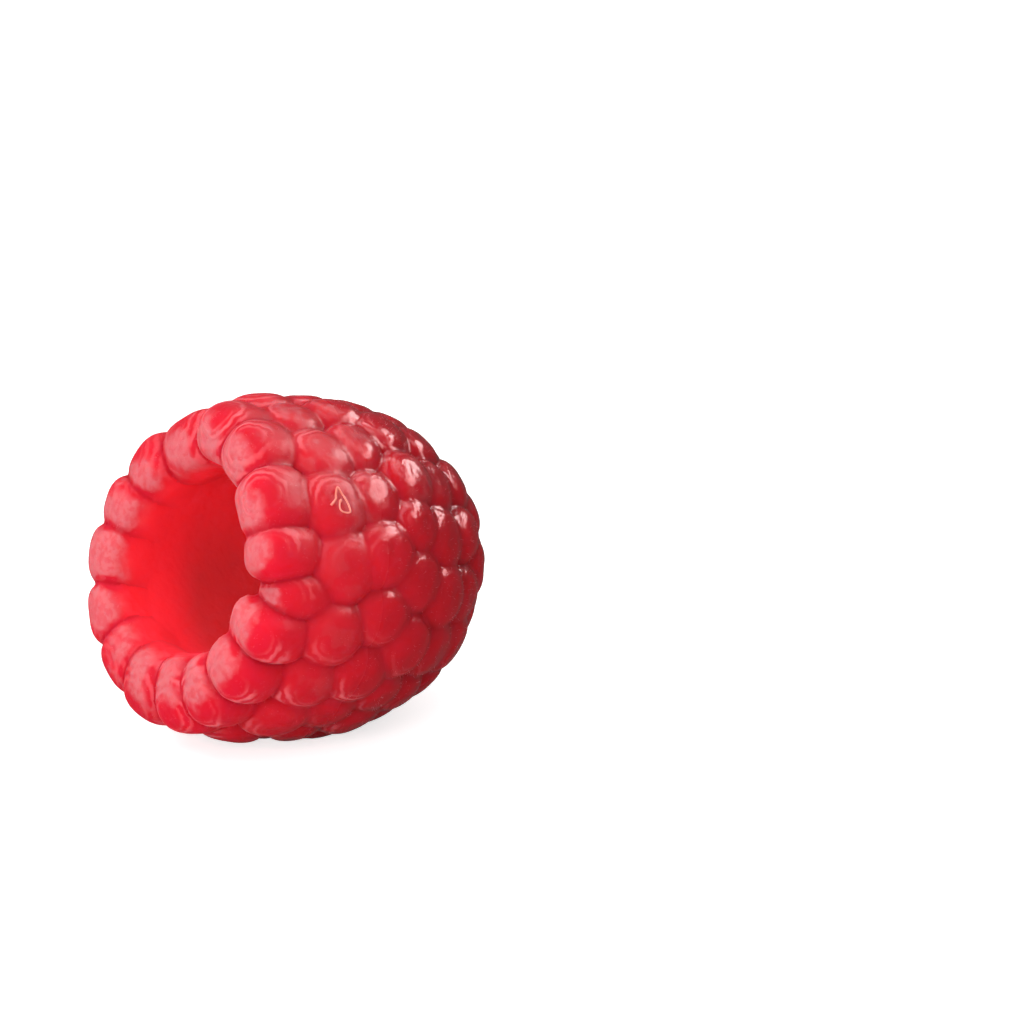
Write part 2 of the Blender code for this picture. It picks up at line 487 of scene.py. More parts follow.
def mark(mesh: bpy.types.Mesh, name: str, domain: Domain, values: np.ndarray) -> None:
    """Stores one number for each point, corner or face of a mesh.

    Args:
        mesh: The mesh.
        name: The attribute's name.
        domain: What it is stored on.
        values: The numbers, one for each element.
    """
    if name in mesh.attributes:
        mesh.attributes.remove(mesh.attributes[name])
    layer = mesh.attributes.new(name, "FLOAT", domain.value)
    layer.data.foreach_set("value", np.asarray(values, dtype=np.float32))


def read(items: bpy.types.bpy_prop_collection, name: str, width: int, kind: type = np.float32) -> np.ndarray:
    """Reads one property of every item of a mesh.

    Args:
        items: The mesh's vertices, edges, corners, faces or attribute values.
        name: The property.
        width: How many numbers each item has.
        kind: The kind of the numbers.

    Returns:
        The numbers, item after item.
    """
    values = np.empty(width * len(items), dtype=kind)
    items.foreach_get(name, values)
    return values


def levels_of(mesh: bpy.types.Mesh, name: str) -> np.ndarray:
    """The numbers of a mesh attribute."""
    return read(mesh.attributes[name].data, "value", 1)


def points_of(mesh: bpy.types.Mesh) -> np.ndarray:
    """The coordinates of a mesh's vertices."""
    return read(mesh.vertices, "co", 3, np.float64).reshape(-1, 3)


def set_points(mesh: bpy.types.Mesh, points: np.ndarray) -> None:
    """Moves a mesh's vertices."""
    mesh.vertices.foreach_set("co", points.ravel())
    mesh.update()


def corner_points(mesh: bpy.types.Mesh) -> np.ndarray:
    """The vertex index of each corner of a mesh."""
    return read(mesh.loops, "vertex_index", 1, np.int32)


def smooth_shaded(mesh: bpy.types.Mesh) -> None:
    """Shades every face of a mesh smoothly."""
    mesh.polygons.foreach_set("use_smooth", np.ones(len(mesh.polygons), dtype=bool))


def ringed(rings: int, sides: int) -> list[tuple[int, int, int]]:
    """Triangles of a closed body made of a pole, rings of points and another pole.

    Args:
        rings: How many rings lie between the poles.
        sides: How many points a ring has.

    Returns:
        The corners of each triangle: point 0 is the first pole and the last point the other.
    """
    def spot(ring: int, side: int) -> int:
        """The index of a ring's point."""
        return 1 + ring * sides + side % sides

    last = 1 + rings * sides
    faces = []
    for side in range(sides):
        faces.append((0, spot(0, side + 1), spot(0, side)))
        faces.append((last, spot(rings - 1, side), spot(rings - 1, side + 1)))
        for ring in range(rings - 1):
            a, b = spot(ring, side), spot(ring, side + 1)
            c, d = spot(ring + 1, side + 1), spot(ring + 1, side)
            faces.extend([(a, b, c), (a, c, d)])
    return faces


def closed_mesh(name: str, points: np.ndarray, faces: Sequence[tuple[int, ...]]) -> bpy.types.Mesh:
    """A closed mesh whose faces all look outward.

    Args:
        name: The mesh's name.
        points: Its vertices.
        faces: The corners of its faces.

    Returns:
        The mesh.
    """
    mesh = bpy.data.meshes.new(name)
    mesh.from_pydata([tuple(point) for point in points], [], faces)
    bm = bmesh.new()
    bm.from_mesh(mesh)
    bmesh.ops.recalc_face_normals(bm, faces=bm.faces)
    bm.to_mesh(mesh)
    bm.free()
    return mesh


@dataclass(frozen=True)
class DrupeletShape:
    """Turns a drupelet into a finely meshed, slightly irregular body.

    rim_pleats and rim_frost_and_sheen say how much each drupelet of the rim has of the pleats and of the
    frosty patches, which are partly the skin's own pale frosting and partly painted sheen.
    body_frost_and_sheen and upper_painted_sheen say how frosty the rows behind it are, all round and on the
    upper side, and how much less each row has; the extra on the upper side is painted sheen where the light
    falls from above.
    """

    plumpness: float = 2.45
    rim_flatness: float = 3.0
    root_depth: float = 1.4 * MM
    root_taper: float = 0.9
    sides: int = 42
    dome_rings: int = 16
    root_rings: int = 2
    egg_rings: int = 32
    uneven: float = 0.035
    oval: float = 0.05
    dimple_depth: float = 0.09 * MM
    dimple_radius: float = 0.42 * MM
    dimple_aside_mm: float = 0.35
    dimple_slack: tuple[float, float] = (0.3, 1.0)
    swell_density: float = 1.15
    noise_reach: float = 50.0
    form_seed: int = 9000
    tone_seed: int = 4000
    pleat_seed: int = 6000
    pleat_upright: float = 0.9
    body_pleat_upright: float = 2.2
    body_pleats: tuple[float, float] = (0.45, 1.0)
    pleats_off_level: Ramp = Ramp(0.0, 0.60, 0.12, 1.0)
    pleated_side: Ramp = Ramp(0.10, 0.65)
    pleat_centre: float = 0.2
    rim_pleats: tuple[float, ...] = (
        1.00, 1.00, 0.80, 0.60, 0.45, 0.85, 1.00, 1.00, 0.75, 0.45, 0.30, 0.20, 0.20, 0.20, 0.30, 0.55,
    )
    # The frosty patches on the rim, partly the skin's pale frosting and partly painted sheen.
    rim_frost_and_sheen: tuple[float, ...] = (
        0.80, 1.20, 1.25, 1.20, 1.60, 1.30, 1.20, 0.75, 0.60, 0.62, 0.66, 0.85, 1.60, 1.00, 0.78, 0.70,
    )
    rim_crown: Way = (0.0, 0.6, -0.8)
    frost_sheen_way: Way = (0.0, -0.34, -0.940)
    frost_side: Ramp = Ramp(0.40, 1.0)
    lining_way: Way = (0.0, -0.95, 0.31)
    lining_side: Ramp = Ramp(0.35, 0.95)
    # Frosty drupelet tops behind the rim, partly pale skin and partly painted sheen; more painted sheen on
    # the upper side.
    body_frost_side: Ramp = Ramp(0.50, 0.98)
    body_frost_and_sheen: tuple[float, float] = (0.11, 0.08)
    upper_painted_sheen: tuple[float, float] = (0.40, 0.10)
    upper_side: Ramp = Ramp(0.35, 0.90)

    def dome(self, drupelet: Drupelet) -> tuple[np.ndarray, int]:
        """The regular form of a drupelet of the body.

        Args:
            drupelet: The drupelet.

        Returns:
            Its points in its own axes, and how many rings they make.
        """
        across, _, tall = drupelet.half
        turns = np.linspace(math.pi / 2, 0.0, self.dome_rings + 1)
        shares = np.cos(turns[1:]) ** (2 / self.plumpness)
        rises = np.sin(turns[1:]) ** (2 / self.plumpness)
        radii = list(across * shares)
        heights = list(tall * rises)
        for step in range(1, self.root_rings + 1):
            share = step / self.root_rings
            radii.append(across * (1 + (self.root_taper - 1) * share))
            heights.append(-self.root_depth * share)
        points = [(0.0, 0.0, tall)]
        for radius, height in zip(radii, heights):
            for side in range(self.sides):
                clock = 2 * math.pi * side / self.sides
                points.append((radius * math.cos(clock), radius * math.sin(clock), height))
        points.append((0.0, 0.0, -self.root_depth))
        return np.array(points), len(radii)

    def egg(self, drupelet: Drupelet) -> tuple[np.ndarray, int]:
        """The regular form of a drupelet of the rim.

        Args:
            drupelet: The drupelet.

        Returns:
            Its points in its own axes, and how many rings they make.
        """
        points = [(0.0, 0.0, 1.0)]
        for ring in range(1, self.egg_rings + 1):
            turn = math.pi * ring / (self.egg_rings + 1)
            for side in range(self.sides):
                clock = 2 * math.pi * side / self.sides
                flat = math.sin(turn)
                points.append((flat * math.cos(clock), flat * math.sin(clock), math.cos(turn)))
        points.append((0.0, 0.0, -1.0))
        made = np.array(points)
        return made / self.level(drupelet, made)[:, None] * np.array(drupelet.half), self.egg_rings

    def level(self, drupelet: Drupelet, unit: np.ndarray) -> np.ndarray:
        """The drupelet's form: 1 on its surface, less inside and more outside.

        Args:
            drupelet: The drupelet.
            unit: Points in its own axes, as shares of its half sizes.

        Returns:
            The level of each point.
        """
        parts = np.abs(unit)
        if drupelet.region is Region.BODY:
            return (parts**self.plumpness).sum(axis=1) ** (1 / self.plumpness)
        section = (parts[:, 1:] ** self.plumpness).sum(axis=1) ** (self.rim_flatness / self.plumpness)
        return (parts[:, 0] ** self.rim_flatness + section) ** (1 / self.rim_flatness)

    def irregular(self, drupelet: Drupelet, own: np.ndarray) -> np.ndarray:
        """Points of a drupelet with its small irregularities, in its own axes.

        Args:
            drupelet: The drupelet.
            own: The regular points.

        Returns:
            The moved points.
        """
        dice = random.Random(self.form_seed + drupelet.seed)
        offset = Vector([dice.uniform(0, self.noise_reach) for _ in range(3)])
        unit = own / np.array(drupelet.half)
        swell = np.array([noise.noise(Vector(place) * self.swell_density + offset) for place in unit])
        stretch = 1 + self.oval * dice.uniform(-1, 1)
        moved = own * (1 + self.uneven * swell)[:, None]
        moved[:, 0] *= stretch
        moved[:, 1] /= stretch if drupelet.region is Region.BODY else 1.0
        if drupelet.region is Region.BODY:
            reach = self.dimple_aside_mm
            aside = np.array([dice.uniform(-reach, reach) for _ in range(2)]) * MM
            away = np.hypot(moved[:, 0] - aside[0], moved[:, 1] - aside[1]) / self.dimple_radius
            dip = self.dimple_depth * dice.uniform(*self.dimple_slack) * np.exp(-(away**2))
            moved[:, 2] -= dip * (moved[:, 2] > 0)
        return moved

    def gauge(self, drupelet: Drupelet, points: np.ndarray) -> np.ndarray:
        """How far points lie outside a drupelet, in metres.

        Args:
            drupelet: The drupelet.
            points: The points, in the berry's own frame.

        Returns:
            The distance of each, negative inside.
        """
        turn = np.array(drupelet.turn)
        own = (points - np.array(drupelet.centre)) @ turn
        if drupelet.region is Region.BODY:
            buried = own[:, 2] + self.root_depth
            own[:, 2] = np.where(buried < 0.0, buried, np.maximum(own[:, 2], 0.0))
        unit = own / np.array(drupelet.half)
        return (self.level(drupelet, unit) - 1) * min(drupelet.half)

    def pleats(self, number: int, drupelet: Drupelet, own: np.ndarray) -> np.ndarray:
        """How strongly the fine pleats and their painted highlight show: on the side towards the mouth, and
        above or below.

        Args:
            number: Its number, counted from 1.
            drupelet: The drupelet.
            own: Its points in its own axes.

        Returns:
            The strength at each point, from 0 to 1.
        """
        outward = drupelet.outward
        upright = self.pleat_upright if drupelet.region is Region.RIM else self.body_pleat_upright
        way = Vector((0.0, upright * math.copysign(1.0, outward.y), -1.0))
        way -= outward * way.dot(outward)
        local = np.array(drupelet.turn.transposed() @ way.normalized())
        across = np.array(drupelet.turn.transposed() @ outward)
        unit = own / np.array(drupelet.half)
        flat = unit - np.outer(unit @ across, across)
        flat /= np.linalg.norm(flat, axis=1)[:, None] + self.pleat_centre
        if drupelet.region is Region.RIM:
            strength = self.rim_pleats[number - 1]
        else:
            strength = random.Random(self.pleat_seed + drupelet.seed).uniform(*self.body_pleats)
            strength *= float(self.pleats_off_level.over(abs(outward.y)))
        return strength * self.pleated_side.over(flat @ local)

    def covers(self, number: int, drupelet: Drupelet, own: np.ndarray) -> tuple[np.ndarray, np.ndarray]:
        """Where the frosty patches, partly pale skin and partly painted sheen, and the lining cover a
        drupelet.

        Args:
            number: Its number, counted from 1.
            drupelet: The drupelet.
            own: Its points in its own axes.

        Returns:
            The strength of the frosty patches with their painted sheen, and of the lining, at each point.
        """
        unit = own / np.array(drupelet.half)
        unit /= np.linalg.norm(unit, axis=1)[:, None] + 1e-9
        if drupelet.region is Region.RIM:
            # Painted sheen, partly the skin's pale frosting: a rim drupelet is frosty on the side that faces
            # out of the mouth.
            frost_and_sheen = self.frost_side.over(unit @ np.array(self.frost_sheen_way)) * self.rim_frost_and_sheen[number - 1]
            return frost_and_sheen, self.lining_side.over(unit @ np.array(self.lining_way))
        # Behind the rim the tops are frosty, partly as pale skin and partly as painted sheen; the upper side
        # of the berry gets more, as painted sheen where the light falls.
        plain, upper = (
            max(0.0, full - less * drupelet.row) for full, less in (self.body_frost_and_sheen, self.upper_painted_sheen)
        )
        share = plain + upper * float(self.upper_side.over(drupelet.outward.y))
        return self.body_frost_side.over(unit[:, 2]) * share, np.zeros(len(unit))

    def mesh(self, number: int, drupelet: Drupelet) -> bpy.types.Mesh:
        """A drupelet's closed mesh in the berry's own frame, marked for its finish.

        Args:
            number: Its number, counted from 1.
            drupelet: The drupelet.

        Returns:
            The mesh.
        """
        rim = drupelet.region is Region.RIM
        own, rings = self.egg(drupelet) if rim else self.dome(drupelet)
        turn = np.array(drupelet.turn)
        placed = self.irregular(drupelet, own) @ turn.T + np.array(drupelet.centre)
        mesh = closed_mesh(f"Drupelet {number}", placed, ringed(rings, self.sides))
        crown = np.array(self.rim_crown if rim else (0.0, 0.0, 1.0))
        ring = np.linalg.norm(own - np.outer(own @ crown, crown), axis=1) / MM
        pleated = self.pleats(number, drupelet, own)
        # The frosty patches carry painted sheen as well as pale skin.
        bloom_and_sheen, lining = self.covers(number, drupelet, own)
        corners = corner_points(mesh)
        for name, values in (("ring", ring), ("pleated", pleated), ("bloom_and_sheen", bloom_and_sheen), ("lining", lining)):
            mark(mesh, name, Domain.CORNER, values[corners])
        tone = random.Random(self.tone_seed + drupelet.seed).uniform(0.0, 1.0)
        mark(mesh, "tone", Domain.FACE, np.full(len(mesh.polygons), tone))
        return mesh


@dataclass
class Flesh:
    """The body of the berry: the wall, the rim and the drupelets, grown together."""

    envelope: Envelope
    mouth: Mouth
    hollow: Hollow
    drupelets: list[Drupelet]
    shape: DrupeletShape
    placement: Placement
    name: str = "raspberry_flesh"
    crease_deg: float = 34.0
    gap_full: float = 1.0 * MM
    lining_cover: Ramp = Ramp(0.10, 0.50)
    near_mouth: Ramp = Ramp(6.5 * MM, 4.2 * MM)
    in_crease: Ramp = Ramp(0.38, 0.06, 0.0, 0.6)
    pull: float = 0.5
    blend_turns: int = 40
    crease_turns: int = 16
    outer_steps: int = 24
    narrowest: float = 0.01 * MM
    wall_tone: float = 0.5

    def wall_mesh(self) -> bpy.types.Mesh:
        """The thimble that carries the drupelets.

        Returns:
            Its closed mesh in the berry's own frame.
        """
        hollow = self.hollow
        shares = np.sin(np.linspace(math.pi / 2, 0.0, hollow.steps))
        heights = [hollow.edge + (hollow.depth - hollow.edge) * share for share in shares]
        pairs = [(hollow.radius_at(height), height) for height in heights[1:]]
        inner = len(pairs)
        for arc in np.linspace(hollow.edge, self.envelope.reach, self.outer_steps)[:-1]:
            radius, height, outward = self.envelope.at(arc)
            pairs.append((radius - outward[0] * hollow.sunk, height - outward[1] * hollow.sunk))
        points = [(0.0, 0.0, hollow.depth)]
        for ring, (radius, height) in enumerate(pairs):
            for side in range(hollow.sides):
                clock = 2 * math.pi * side / hollow.sides
                swell = hollow.swell(clock, height) if ring < inner else 0.0
                away = min(radius / hollow.radius, 1.0)
                shift = self.mouth.shift(clock, height) * away
                points.append(around(clock, max(radius - swell * away, self.narrowest), height + shift))
        points.append((0.0, 0.0, self.envelope.length - hollow.sunk))
        mesh = closed_mesh("Wall", np.array([tuple(p) for p in points]), ringed(len(pairs), hollow.sides))
        for name, value in (("ring", 0.0), ("pleated", 0.0), ("bloom_and_sheen", 0.0), ("lining", 1.0)):
            mark(mesh, name, Domain.CORNER, np.full(len(mesh.loops), value))
        mark(mesh, "tone", Domain.FACE, np.full(len(mesh.polygons), self.wall_tone))
        return mesh

    def united(self) -> bpy.types.Mesh:
        """Grows the wall and every drupelet together.

        Returns:
            The mesh of their union, without the pockets sealed in it.
        """
        wall = linked("Wall", self.wall_mesh())
        group = bpy.data.collections.new("Drupelets")
        bpy.context.scene.collection.children.link(group)
        grown = []
        for number, drupelet in enumerate(self.drupelets, start=1):
            item = bpy.data.objects.new(f"Drupelet {number}", self.shape.mesh(number, drupelet))
            group.objects.link(item)
            grown.append(item)
        union = wall.modifiers.new("Union", "BOOLEAN")
        union.operation = "UNION"
        union.solver = "MANIFOLD"
        union.operand_type = "COLLECTION"
        union.collection = group
        view = bpy.context.evaluated_depsgraph_get()
        mesh = bpy.data.meshes.new_from_object(wall.evaluated_get(view))
        for item in [wall, *grown]:
            bpy.data.objects.remove(item, do_unlink=True)
        bpy.data.collections.remove(group)
        self.drop_pockets(mesh)
        return mesh

    @staticmethod
    def drop_pockets(mesh: bpy.types.Mesh) -> None:
        """Removes all but the largest shell of a mesh.

        Args:
            mesh: The mesh.
        """
        bm = bmesh.new()
        bm.from_mesh(mesh)
        left = set(bm.faces)
        shells = []
        while left:
            front = [left.pop()]
            shell = list(front)
            while front:
                face = front.pop()
                for near in {other for edge in face.edges for other in edge.link_faces} & left:
                    left.discard(near)
                    shell.append(near)
                    front.append(near)
            shells.append(shell)
        shells.sort(key=len)
        bmesh.ops.delete(bm, geom=[face for shell in shells[:-1] for face in shell], context="FACES")
        bmesh.ops.triangulate(bm, faces=bm.faces)
        bm.to_mesh(mesh)
        bm.free()

    def measure(self, mesh: bpy.types.Mesh) -> None:
        """Marks how far each point lies from a crease, along the berry and into the hollow.

        Args:
            mesh: The united mesh, in the berry's own frame.
        """
        points = points_of(mesh)
        gauges = np.stack([self.shape.gauge(drupelet, points) for drupelet in self.drupelets])
        gaps = np.partition(gauges, 1, axis=0)[1]
        for name, values, full in (
            ("gap", gaps, self.gap_full),
            ("along", points[:, 2], self.envelope.length),
            ("depth", points[:, 2], self.hollow.depth),
        ):
            mark(mesh, name, Domain.POINT, np.clip(values / full, 0.0, 1.0))

    def soften(self, mesh: bpy.types.Mesh) -> None:
        """Rounds the creases a little, and lets the rim's inner ends run into the lining.

        Args:
            mesh: The measured mesh, in the berry's own frame.
        """
        points = points_of(mesh)
        corners = corner_points(mesh)
        shared = np.bincount(corners, weights=levels_of(mesh, "lining"), minlength=len(points))
        shared /= np.maximum(np.bincount(corners, minlength=len(points)), 1)
        inner = self.lining_cover.over(shared) * self.near_mouth.over(points[:, 2])
        crease = self.in_crease.over(levels_of(mesh, "gap"))
        links = read(mesh.edges, "vertices", 2, np.int32)
        first, second = links.reshape(-1, 2).T
        count = np.bincount(links, minlength=len(points))[:, None]
        for turn in range(self.blend_turns):
            weight = np.maximum(inner, crease if turn < self.crease_turns else 0.0)[:, None]
            total = np.zeros_like(points)
            np.add.at(total, first, points[second])
            np.add.at(total, second, points[first])
            points += self.pull * weight * (total / count - points)
        set_points(mesh, points)

    def build(self) -> bpy.types.Object:
        """Builds the flesh and stands it for the CAD node.

        Returns:
            The piece.
        """
        mesh = self.united()
        self.measure(mesh)
        self.soften(mesh)
        set_points(mesh, self.placement.placed(points_of(mesh)))
        smooth_shaded(mesh)
        mesh.set_sharp_from_angle(angle=math.radians(self.crease_deg))
        mesh.name = self.name
        piece = linked(self.name, mesh)
        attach(piece, BODY)
        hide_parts(NODE)
        return piece

    def dress(self, piece: bpy.types.Object, finish: "FleshFinish") -> None:
        """Gives the flesh its finish."""
        piece.data.materials.clear()
        piece.data.materials.append(finish.material())


@dataclass(frozen=True)
class Style:
    """One dry style that is left on a drupelet.

    Args:
        drupelet: The number of the drupelet that carries it.
        bends: The places that it passes, in millimetres: to the right, upwards and off the skin, seen from
            outside and measured from the drupelet's outermost point.
        heading_deg: How far the whole of it is turned on the skin.
    """

    drupelet: int
    bends: tuple[tuple[float, float, float], ...]
    heading_deg: float = 0.0


@dataclass
class Styles:
    """The dry styles, as thin curled threads."""

    drupelets: list[Drupelet]
    placement: Placement
    threads: tuple[Style, ...]
    name: str = "raspberry_styles"
    root_radius: float = 0.075 * MM
    end_radius: float = 0.050 * MM
    knob_radius: float = 0.045 * MM
    knob_at: float = 0.96
    knob_length: float = 0.03
    sides: int = 7
    steps: int = 7

    def route(self, style: Style) -> list[Vector]:
        """The smooth curve that one thread follows.

        Args:
            style: The style.

        Returns:
            The curve's points in the row frame.
        """
        drupelet = self.drupelets[style.drupelet]
        out = self.placement.direction(drupelet.outward)
        start = self.placement.point(drupelet.top)
        right = Vector((0.0, 0.0, 1.0)).cross(out).normalized()
        right.rotate(Matrix.Rotation(math.radians(style.heading_deg), 3, out))
        up = out.cross(right)
        bends = [start + (right * x + up * y + out * z) * MM for x, y, z in style.bends]
        bends = [bends[0] * 2 - bends[1], *bends, bends[-1] * 2 - bends[-2]]
        points = []
        for a, b, c, d in zip(bends, bends[1:], bends[2:], bends[3:]):
            for k in range(self.steps):
                t = k / self.steps
                ahead = (c - a) * t + (a * 2 - b * 5 + c * 4 - d) * t**2 + (b * 3 - a - c * 3 + d) * t**3
                points.append(b + ahead * 0.5)
        return [*points, bends[-2]]

    def tube(self, route: Sequence[Vector], first: int) -> tuple[list[Vector], list[tuple[int, ...]]]:
        """A closed tube along a route.

        Args:
            route: The points that it follows.
            first: The number of its first vertex in the whole mesh.

        Returns:
            Its vertices and its faces.
        """
        points = []
        last = len(route) - 1
        side = (route[1] - route[0]).orthogonal().normalized()
        for k, spot in enumerate(route):
            way = (route[min(k + 1, last)] - route[max(k - 1, 0)]).normalized()
            side = (side - way * side.dot(way)).normalized()
            cross = way.cross(side)
            share = k / last
            radius = self.root_radius + (self.end_radius - self.root_radius) * share
            radius += self.knob_radius * math.exp(-(((share - self.knob_at) / self.knob_length) ** 2))
            for turn in range(self.sides):
                clock = 2 * math.pi * turn / self.sides
                points.append(spot + (side * math.cos(clock) + cross * math.sin(clock)) * radius)
        faces = []
        for k in range(last):
            for turn in range(self.sides):
                a = first + k * self.sides + turn
                b = first + k * self.sides + (turn + 1) % self.sides
                faces.append((a, b, b + self.sides, a + self.sides))
        faces.append(tuple(first + turn for turn in reversed(range(self.sides))))
        faces.append(tuple(first + last * self.sides + turn for turn in range(self.sides)))
        return points, faces

    def build(self) -> bpy.types.Object:
        """Builds all the threads as one piece.

        Returns:
            The piece.
        """
        points: list[Vector] = []
        faces: list[tuple[int, ...]] = []
        for style in self.threads:
            more, rims = self.tube(self.route(style), len(points))
            points.extend(more)
            faces.extend(rims)
        mesh = closed_mesh(self.name, np.array([tuple(point) for point in points]), faces)
        smooth_shaded(mesh)
        piece = linked(self.name, mesh)
        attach(piece, BODY)
        return piece

    def dress(self, piece: bpy.types.Object, finish: "ThreadFinish") -> None:
        """Gives the threads their finish."""
        piece.data.materials.append(finish.material())


@dataclass
class Down:
    """The fine down on the skin, as tiny spikes."""

    flesh: bpy.types.Object
    name: str = "raspberry_down"
    count: int = 5000
    shortest: float = 0.10 * MM
    longest: float = 0.26 * MM
    thickness: float = 0.005 * MM
    sunk: float = 0.02 * MM
    lean: float = 0.55
    skew: float = 0.3
    clear_of_ground: float = 0.5 * MM
    least_gap: float = 0.15
    most_lining: float = 0.3
    seed: int = 21

    def spots(self) -> tuple[np.ndarray, np.ndarray]:
        """Where the hairs grow: on the skin, off the lining, the creases and the ground.

        Returns:
            The spots, and the outward directions there.
        """
        mesh = self.flesh.data
        total = len(mesh.polygons)
        corners = read(mesh.polygons, "vertices", 3, np.int32).reshape(-1, 3)
        points = points_of(mesh)
        a, b, c = (points[corners[:, k]] for k in range(3))
        across = np.cross(b - a, c - a)
        areas = np.linalg.norm(across, axis=1) / 2
        lining = levels_of(mesh, "lining").reshape(-1, 3).mean(axis=1)
        gap = levels_of(mesh, "gap")[corners].mean(axis=1)
        heights = ((a + b + c) / 3)[:, 2]
        weight = areas * (lining < self.most_lining)
        weight = weight * (heights > self.clear_of_ground) * (gap > self.least_gap)
        dice = np.random.default_rng(self.seed)
        chosen = dice.choice(total, size=self.count, p=weight / weight.sum())
        share = np.sqrt(dice.random((self.count, 1)))
        other = dice.random((self.count, 1))
        spots = (1 - share) * a[chosen] + share * (1 - other) * b[chosen] + share * other * c[chosen]
        normals = across[chosen] / (2 * areas[chosen, None])
        return spots, normals

    def build(self) -> bpy.types.Object:
        """Builds the down as one piece of closed three-sided spikes.

        Returns:
            The piece.
        """
        spots, normals = self.spots()
        dice = np.random.default_rng(self.seed + 1)
        lean = dice.normal(0.0, self.lean, (self.count, 3))
        way = normals + lean - normals * (lean * normals).sum(axis=1)[:, None]
        way /= np.linalg.norm(way, axis=1)[:, None]
        lengths = dice.uniform(self.shortest, self.longest, (self.count, 1))
        side = np.cross(way, np.roll(way, 1, axis=1) + self.skew)
        side /= np.linalg.norm(side, axis=1)[:, None]
        cross = np.cross(way, side)
        root = spots - normals * self.sunk
        rows = []
        for k in range(3):
            turn = 2 * math.pi * k / 3
            rows.append(root + (side * math.cos(turn) + cross * math.sin(turn)) * self.thickness)
        rows.append(spots + way * lengths)
        points = np.stack(rows, axis=1).reshape(-1, 3)
        faces = []
        for k in range(0, 4 * self.count, 4):
            faces.extend([(k, k + 2, k + 1), (k, k + 1, k + 3), (k + 1, k + 2, k + 3), (k + 2, k, k + 3)])
        mesh = bpy.data.meshes.new(self.name)
        mesh.from_pydata([tuple(point) for point in points], [], faces)
        piece = linked(self.name, mesh)
        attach(piece, BODY)
        return piece

    def dress(self, piece: bpy.types.Object, finish: "DownFinish") -> None:
        """Gives the down its finish."""
        piece.data.materials.append(finish.material())


# Finishes


class Wiring:
    """Places and links the nodes of one node tree."""

    COLOUR_MIX = ("RGBA", 6, 7, 2)
    NUMBER_MIX = ("FLOAT", 2, 3, 0)

    def __init__(self, tree: bpy.types.NodeTree) -> None:
        """Starts on a node tree."""
        self.tree = tree

    def node(self, kind: str, **settings: object) -> bpy.types.Node:
        """A new node.

        Args:
            kind: Its type.
            settings: Its settings, by name.

        Returns:
            The node.
        """
        made = self.tree.nodes.new(kind)
        for name, value in settings.items():
            setattr(made, name, value)
        return made

    def feed(self, socket: Socket, source: Feed) -> None:
        """Links a socket to another, or sets its number or colour.

        Args:
            socket: The input.
            source: What it gets.
        """
        if isinstance(source, bpy.types.NodeSocket):
            self.tree.links.new(source, socket)
        elif isinstance(source, tuple) and len(source) == 3 and socket.type == "RGBA":
            socket.default_value = (*source, 1.0)
        else:
            socket.default_value = source

    def attribute(self, name: str) -> Socket:
        """The value of a mesh attribute."""
        return self.node("ShaderNodeAttribute", attribute_name=name).outputs["Fac"]

    def mix(self, kind: tuple[str, int, int, int], share: Feed, first: Feed, second: Feed) -> Socket:
        """A mix of two colours or two numbers.

        Args:
            kind: COLOUR_MIX or NUMBER_MIX: what is mixed, and the numbers of the node's sockets for it.
            share: The share of the second one.
            first: What it is where the share is 0.
            second: What it is where the share is 1.

        Returns:
            The mixed colour or number.
        """
        data, a, b, result = kind
        made = self.node("ShaderNodeMix", data_type=data)
        for number, source in ((0, share), (a, first), (b, second)):
            self.feed(made.inputs[number], source)
        return made.outputs[result]

    def blend(self, share: Feed, first: Feed, second: Feed) -> Socket:
        """The first colour where the share is 0, the second where it is 1."""
        return self.mix(self.COLOUR_MIX, share, first, second)

    def calc(self, operation: str, first: Feed, second: Feed = 0.0) -> Socket:
        """One operation on two numbers.

        Args:
            operation: The operation.
            first: The first number.
            second: The second number.

        Returns:
            The result.
        """
        made = self.node("ShaderNodeMath", operation=operation)
        self.feed(made.inputs[0], first)
        self.feed(made.inputs[1], second)
        return made.outputs[0]

    def product(self, first: Feed, *others: Feed) -> Socket:
        """Several numbers multiplied together.

        Args:
            first: The first number.
            others: The others.

        Returns:
            The product.
        """
        for other in others:
            first = self.calc("MULTIPLY", first, other)
        return first

    def heaped(self, first: Feed, *parts: tuple[Feed, float]) -> Socket:
        """A number with shares of others added to it.

        Args:
            first: The number.
            parts: Each of the others with its share.

        Returns:
            The sum.
        """
        for source, share in parts:
            first = self.calc("ADD", first, self.calc("MULTIPLY", source, share))
        return first

    def ease(self, value: Feed, ramp: Ramp) -> Socket:
        """A smooth step between two levels.

        Args:
            value: What it depends on.
            ramp: Where it starts and ends, and its levels there.

        Returns:
            The level.
        """
        made = self.node("ShaderNodeMapRange", interpolation_type="SMOOTHSTEP")
        for name, source in (("Value", value), ("From Min", ramp.low), ("From Max", ramp.high),
                             ("To Min", ramp.start), ("To Max", ramp.end)):
            self.feed(made.inputs[name], source)
        return made.outputs["Result"]


def grouped(name: str, inputs: dict[str, float], outputs: Sequence[str],
            wire: Callable[[Wiring, dict[str, Socket]], dict[str, Socket]]) -> bpy.types.NodeTree:
    """A shader node group, built once.

    Args:
        name: Its name.
        inputs: Its number inputs and their values.
        outputs: Its number outputs.
        wire: Makes its nodes, and returns what each output shows.

    Returns:
        The group.
    """
    if name in bpy.data.node_groups:
        return bpy.data.node_groups[name]
    tree = bpy.data.node_groups.new(name, "ShaderNodeTree")
    for label, value in inputs.items():
        socket = tree.interface.new_socket(label, in_out="INPUT", socket_type="NodeSocketFloat")
        socket.default_value = value
    for label in outputs:
        tree.interface.new_socket(label, in_out="OUTPUT", socket_type="NodeSocketFloat")
    wiring = Wiring(tree)
    entry = wiring.node("NodeGroupInput")
    shown = wire(wiring, {label: entry.outputs[label] for label in inputs})
    leave = wiring.node("NodeGroupOutput")
    for label in outputs:
        wiring.feed(leave.inputs[label], shown[label])
    return tree


